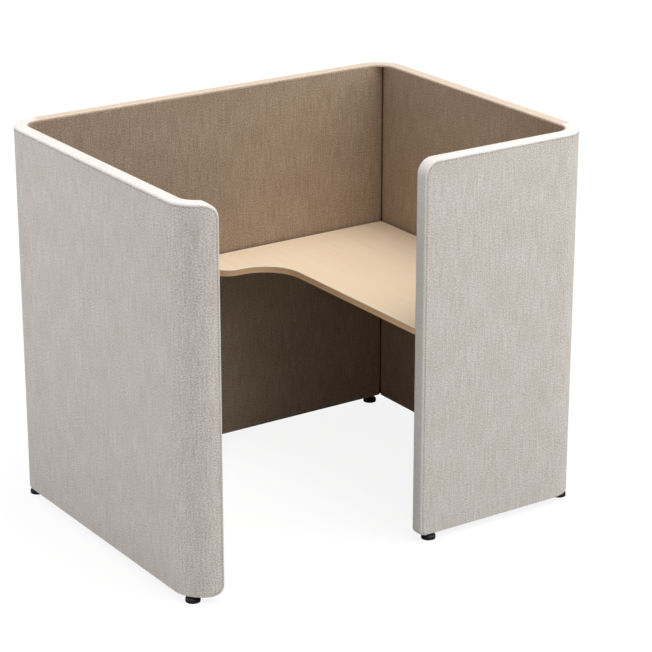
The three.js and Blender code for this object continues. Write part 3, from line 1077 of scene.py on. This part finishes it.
@dataclass
class Stitching:
    """A row of stitches on a wall's outer cover, just under the border's seam.

    Each stitch has rings at shares of its length, sunk into the cover at both ends.
    """

    wall: Wall
    thread: Material
    length: float = 0.0055
    pitch: float = 0.009
    width: float = 0.0016
    thickness: float = 0.0012
    below_seam: float = 0.0035
    proud: float = PANEL_CROWN * 0.25
    rings: tuple[Pair, ...] = ((0.0, 0.0011), (0.2, 0.0), (0.8, 0.0), (1.0, 0.0011))
    look_ahead: float = 0.001

    def build(self) -> Object:
        """Sews the row.

        Returns:
            The piece.
        """
        mesh = Mesh()
        line = [stop.inside(BORDER + self.below_seam) for stop in self.wall.outline()]
        runs = lengths(line)
        axes = np.array(line).T
        half = [(self.width / 3, 0.0), (self.width / 2, -self.thickness)]
        section = [*((-across, out) for across, out in reversed(half)), *half]
        begin = self.pitch / 2
        while begin + self.length < runs[-1]:
            first = len(mesh.points)
            for part, sink in self.rings:
                where = begin + self.length * part
                s, z = (float(np.interp(where, runs, axis)) for axis in axes)
                next_s, next_z = (float(np.interp(where + self.look_ahead, runs, axis)) for axis in axes)
                ahead, rise = next_s - s, next_z - z
                size = hypot(ahead, rise) or 1.0
                for across, out in section:
                    along, up = s - across * rise / size, z + across * ahead / size
                    mesh.add(self.wall.path.place(along, HALF_WALL + self.proud + out - sink, up))
            mesh.close_tube(len(section), first)
            begin += self.pitch
        piece = mesh.make(f"{self.wall.name}_stitching", self.thread)
        return piece


@dataclass
class Desk:
    """The desk's board, a narrow gap away from the walls, and the rounded strip along its free edge."""

    wood: Material
    edge_wood: Material
    thickness: float = 0.025
    front_edge: float = 0.15
    front_end: float = -0.546
    back_end: float = 0.541
    right_end: float = 0.741
    rear_corner: float = 0.008
    entry_corner: float = CORNER_RADIUS - 2 * HALF_WALL
    wing_end: float = -0.08
    wing_edge: float = 0.36
    inner_curve: float = 0.15
    wing_curve: float = 0.068
    band: float = 0.002
    band_round: float = 0.0017
    band_fall: float = 0.0036
    edge_step: float = 0.05

    def outline(self, inset: float) -> list[Pair]:
        """Follows the desk's free edge in plan, from the front wall to the back wall.

        Args:
            inset: How far inside the edge to run.

        Returns:
            Points in plan.
        """
        arc = quarter_turn(DESK_CURVE_STEPS)
        bend_x, bend_y = self.front_edge - self.inner_curve, self.wing_edge - self.inner_curve
        wing_x, wing_y = self.wing_end + self.wing_curve, self.wing_edge + self.wing_curve
        inner = self.inner_curve + inset
        tip = self.wing_curve - inset
        straight = spread(self.front_end, bend_y, self.edge_step)[:-1]
        points = [(self.front_edge + inset, y) for y in straight]
        points += [(bend_x + inner * cos(a), bend_y + inner * sin(a)) for a in arc]
        points += [(wing_x - tip * sin(a), wing_y - tip * cos(a)) for a in arc]
        return [*points, (self.wing_end + inset, self.back_end)]

    def build(self) -> list[Object]:
        """Makes the board and the strip in place of the plain solids."""
        return [self.board(), self.strip()]

    def board(self) -> Object:
        """Makes the board, with flat faces.

        Returns:
            The piece.
        """
        mesh = Mesh()
        arc = quarter_turn(BOARD_CORNER_STEPS)
        plan = self.outline(self.band + FIT)
        corners = ((self.back_end, self.rear_corner, 1), (self.front_end, self.entry_corner, -1))
        for y, radius, side in corners:
            x = self.right_end - radius
            turn = [(x + radius * sin(a), y - side * radius * (1 - cos(a))) for a in arc]
            plan += turn[::side]
        for z in (DESK_TOP - self.thickness, DESK_TOP):
            for x, y in plan:
                mesh.add((x, y, z))
        mesh.close_tube(len(plan))
        piece = mesh.make("desk_top", self.wood)
        piece.data.polygons.foreach_set("use_smooth", [False] * len(piece.data.polygons))
        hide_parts("desk_board")
        return piece

    def strip(self) -> Object:
        """Makes the edge strip, rounded below and falling away above.

        Returns:
            The piece.
        """
        mesh = Mesh()
        low = DESK_TOP - self.thickness
        r = self.band_round
        arc = quarter_turn(ROUND_STEPS)
        section = [(self.band, low)]
        section += [(r * (1 - sin(a)), low + r * (1 - cos(a))) for a in arc]
        section += [(r * (1 - cos(a)), DESK_TOP - self.band_fall * (1 - sin(a))) for a in arc]
        section += [(self.band, DESK_TOP)]
        for stop in zip(*(self.outline(inset) for inset, _ in section)):
            for place, (_, z) in zip(stop, section):
                mesh.add((*place, z))
        mesh.close_tube(len(section))
        piece = mesh.make("desk_edge_strip", self.edge_wood)
        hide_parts("desk_edge_band")
        return piece


@dataclass
class Pod:
    """The whole pod: its walls, desk and hardware."""

    length: float = 1.6
    depth: float = 1.2
    return_length: float = 0.126
    return_toe: float = 0.035
    front_length: float = 0.695
    front_toe: float = 0.018

    HARDWARE = (
        (FIBRE_BOARD, ("_core",)),
        (BLACK_STEEL, ("_base_rail", "_bracket")),
        (BRIGHT_STEEL, ("_link", "_screw_1", "_screw_2", "_stud")),
        (BLACK_PLASTIC, ("_glide",)),
    )

    def walls(self) -> list[Wall]:
        """Lays out the four walls.

        Returns:
            The left, back, right and front walls.
        """
        bend = CORNER_RADIUS - HALF_WALL
        half_x = self.length / 2
        half_y = self.depth / 2
        run_x = self.length - 2 * CORNER_RADIUS
        run_y = self.depth - 2 * CORNER_RADIUS
        back_left = Vector((CORNER_RADIUS - half_x, half_y - HALF_WALL))
        back_right = Vector((half_x - HALF_WALL, half_y - CORNER_RADIUS))
        front_right = Vector((half_x - HALF_WALL, CORNER_RADIUS - half_y))
        leftward = Vector((-1.0, 0.0))
        rightward = Vector((1.0, 0.0))
        frontward = Vector((0.0, -1.0))
        left = WallPath(back_left, leftward, 1).quarter(bend).straight(run_y)
        left.quarter(bend).straight(self.return_length - CORNER_RADIUS)
        back = WallPath(back_left, rightward, -1).straight(run_x).quarter(bend)
        right = WallPath(back_right, frontward, -1).straight(run_y)
        front = WallPath(front_right, frontward, -1).quarter(bend)
        front.straight(self.front_length - CORNER_RADIUS)
        past_joint = CORNER_RADIUS - 2 * HALF_WALL
        corner = back_right + Vector((0.0, past_joint))
        back_lining = WallPath(back_left, rightward, -1).straight(run_x + past_joint)
        right_lining = WallPath(corner, frontward, -1).straight(past_joint + run_y)
        return [
            Wall("left", left, Trim.GREY, True, False, self.return_toe),
            Wall("back", back, Trim.SAND, False, True, 0.0, back_lining, Corner.FINISH),
            Wall("right", right, Trim.SAND, False, True, 0.0, right_lining, Corner.BEGIN),
            Wall("front", front, Trim.GREY, True, True, self.front_toe),
        ]

    def build(self) -> list[Object]:
        """Makes the visible pieces and finishes the solids that stay in view.

        Returns:
            All of them.
        """
        grey, brown, thread = (f.material() for f in (GREY_FABRIC, BROWN_FABRIC, THREAD))
        trims = {trim: finish.material() for trim, finish in BORDERS.items()}
        panels = []
        pieces = []
        for wall in self.walls():
            panels.append(Panel(wall, Face.OUTER, grey, "grey_fabric").build())
            panels.append(Panel(wall, Face.INNER, brown, "brown_fabric").build())
            pieces.append(Border(wall, trims[wall.trim], f"{wall.trim.value}_fabric").build())
            pieces.append(Stitching(wall, thread).build())
        Upholsterer(panels).run()
        pieces += [panel.piece for panel in panels]
        pieces += Desk(OAK.material(), OAK_EDGE.material()).build()
        return pieces + self.finish_solids()

    def finish_solids(self) -> list[Object]:
        """Gives every solid left in view its material.

        Returns:
            The solids.
        """
        finished = []
        for finish, endings in self.HARDWARE:
            material = finish.material()
            for name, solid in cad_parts.items():
                if name.endswith(endings):
                    solid.data.materials.clear()
                    solid.data.materials.append(material)
                    finished.append(solid)
        return finished


@dataclass(frozen=True)
class Lamp:
    """A square soft light."""

    name: str
    where: Point
    aim: Point
    size: float
    power: float


class Studio:
    """A pale floor, soft light from above and the sides, and the camera."""

    BLACK = (0.0, 0.0, 0.0)
    WHITE = (1.0, 1.0, 1.0, 1.0)
    FLOOR_SIZE = 60.0
    FLOOR_GLOW = (0.88, 0.88, 0.88)
    FLOOR_SHOWN = (0.12, 0.12, 0.12)
    FLOOR_BOUNCE = (0.27, 0.27, 0.27)
    OVERHEAD = (0.17, -0.21, 0.96)
    FOCUS = 12.0
    ALL_ROUND = 0.36
    FROM_ABOVE = 5.6
    LAMPS = (
        Lamp("front_softbox", (2.2, -3.3, 2.5), (0.0, 0.3, 0.8), 1.6, 40.0),
        Lamp("side_softbox", (-3.3, 1.2, 1.6), (-0.6, 0.1, 0.7), 1.5, 23.5),
        Lamp("entry_softbox", (-3.3, -1.8, 1.0), (-0.2, -0.6, 0.7), 1.2, 9.0),
    )
    CAMERA = (-4.3602, -6.6357, 3.5186)
    YAW = 0.5942
    PITCH = 0.3491
    FOCAL = 2424.4 / 652
    SENSOR = 36.0
    FARTHEST = 200.0

    def build(self) -> None:
        """Sets the studio up."""
        self.floor()
        self.world()
        for lamp in self.LAMPS:
            self.light(lamp)
        self.camera()

    def floor(self) -> None:
        """Lays a wide white floor, which throws less light back at the pod than it shows."""
        graph = Graph.material("pale_floor")
        seen = graph.node("LightPath", output="Is Camera Ray")
        material = graph.surface(
            Base_Color=graph.blend(seen, self.FLOOR_BOUNCE, self.FLOOR_SHOWN),
            Roughness=0.9,
            Specular_IOR_Level=0.1,
            Emission_Color=graph.blend(seen, self.BLACK, self.FLOOR_GLOW),
            Emission_Strength=1.0,
        )
        bpy.ops.mesh.primitive_plane_add(size=self.FLOOR_SIZE, location=(0.0, 0.0, 0.0))
        plane = bpy.context.active_object
        plane.name = "floor"
        plane.data.materials.append(material)

    def world(self) -> None:
        """Surrounds the scene with soft light that is strongest overhead."""
        world = bpy.data.worlds.new("studio")
        bpy.context.scene.world = world
        graph = Graph(world)
        toward = graph.node("TexCoord", output="Generated")
        inputs = {0: toward, 1: Vector(self.OVERHEAD).normalized()}
        facing = graph.node("VectorMath", inputs, output="Value", operation="DOT_PRODUCT")
        strength = self.ALL_ROUND + self.FROM_ABOVE * facing.positive() ** self.FOCUS
        soft = graph.node("Background", {"Color": self.WHITE, "Strength": strength})
        white = graph.node("Background", {"Color": self.WHITE, "Strength": 1.0})
        seen = graph.node("LightPath", output="Is Camera Ray")
        shown = graph.node("MixShader", {0: seen, 1: soft, 2: white})
        graph.node("OutputWorld", {"Surface": shown})

    @staticmethod
    def light(lamp: Lamp) -> None:
        """Sets one soft light up.

        Args:
            lamp: The light.
        """
        data = bpy.data.lights.new(lamp.name, "AREA")
        data.size = lamp.size
        data.energy = lamp.power
        light = bpy.data.objects.new(lamp.name, data)
        light.location = lamp.where
        light.rotation_euler = (Vector(lamp.aim) - light.location).to_track_quat("-Z", "Y").to_euler()
        light.visible_camera = False
        bpy.context.scene.collection.objects.link(light)

    def camera(self) -> None:
        """Places the camera."""
        data = bpy.data.cameras.new("camera")
        data.sensor_width = self.SENSOR
        data.lens = self.FOCAL * self.SENSOR
        data.clip_end = self.FARTHEST
        camera = bpy.data.objects.new("camera", data)
        camera.location = self.CAMERA
        camera.rotation_euler = (pi / 2 - self.PITCH, 0.0, -self.YAW)
        bpy.context.scene.collection.objects.link(camera)
        bpy.context.scene.camera = camera
        bpy.context.scene.view_settings.view_transform = "Standard"


def main() -> None:
    """Builds the pod in its studio and reports each piece."""
    logging.basicConfig(level=logging.INFO)
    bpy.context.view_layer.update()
    pieces = Pod().build()
    Studio().build()
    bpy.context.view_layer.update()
    for piece in pieces:
        log.info("%s has %d faces", piece.name, len(piece.data.polygons))


if __name__ == "__main__":
    main()
